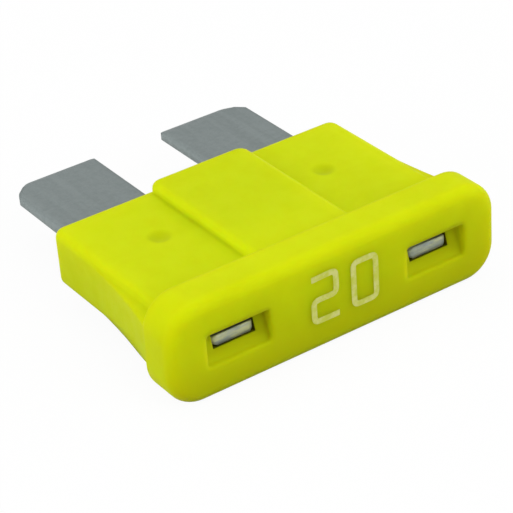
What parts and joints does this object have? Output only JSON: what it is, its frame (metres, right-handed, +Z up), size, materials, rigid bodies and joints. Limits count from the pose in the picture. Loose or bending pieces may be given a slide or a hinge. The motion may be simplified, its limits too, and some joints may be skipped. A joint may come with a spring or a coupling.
{
  "type": "blade fuse",
  "caption": "Automotive blade fuse: a translucent yellow plastic housing with a wide head, and flat metal blades that plug into a fuse holder.",
  "frame": {"origin": "under the middle of the fuse, on the surface that the head lies on", "axes": "+X across the blades, +Y from the head towards the blade tips, +Z up, out of the upper broad face"},
  "size_m": [0.019, 0.0189, 0.0053],
  "materials": {
    "housing_plastic": "satin, translucent",
    "element_metal": "dull, unpolished",
    "print_ink": "pale ink"
  },
  "bodies": {
    "root": {"housing": "housing_plastic", "fuse_element": "element_metal"}
  },
  "joints": []
}
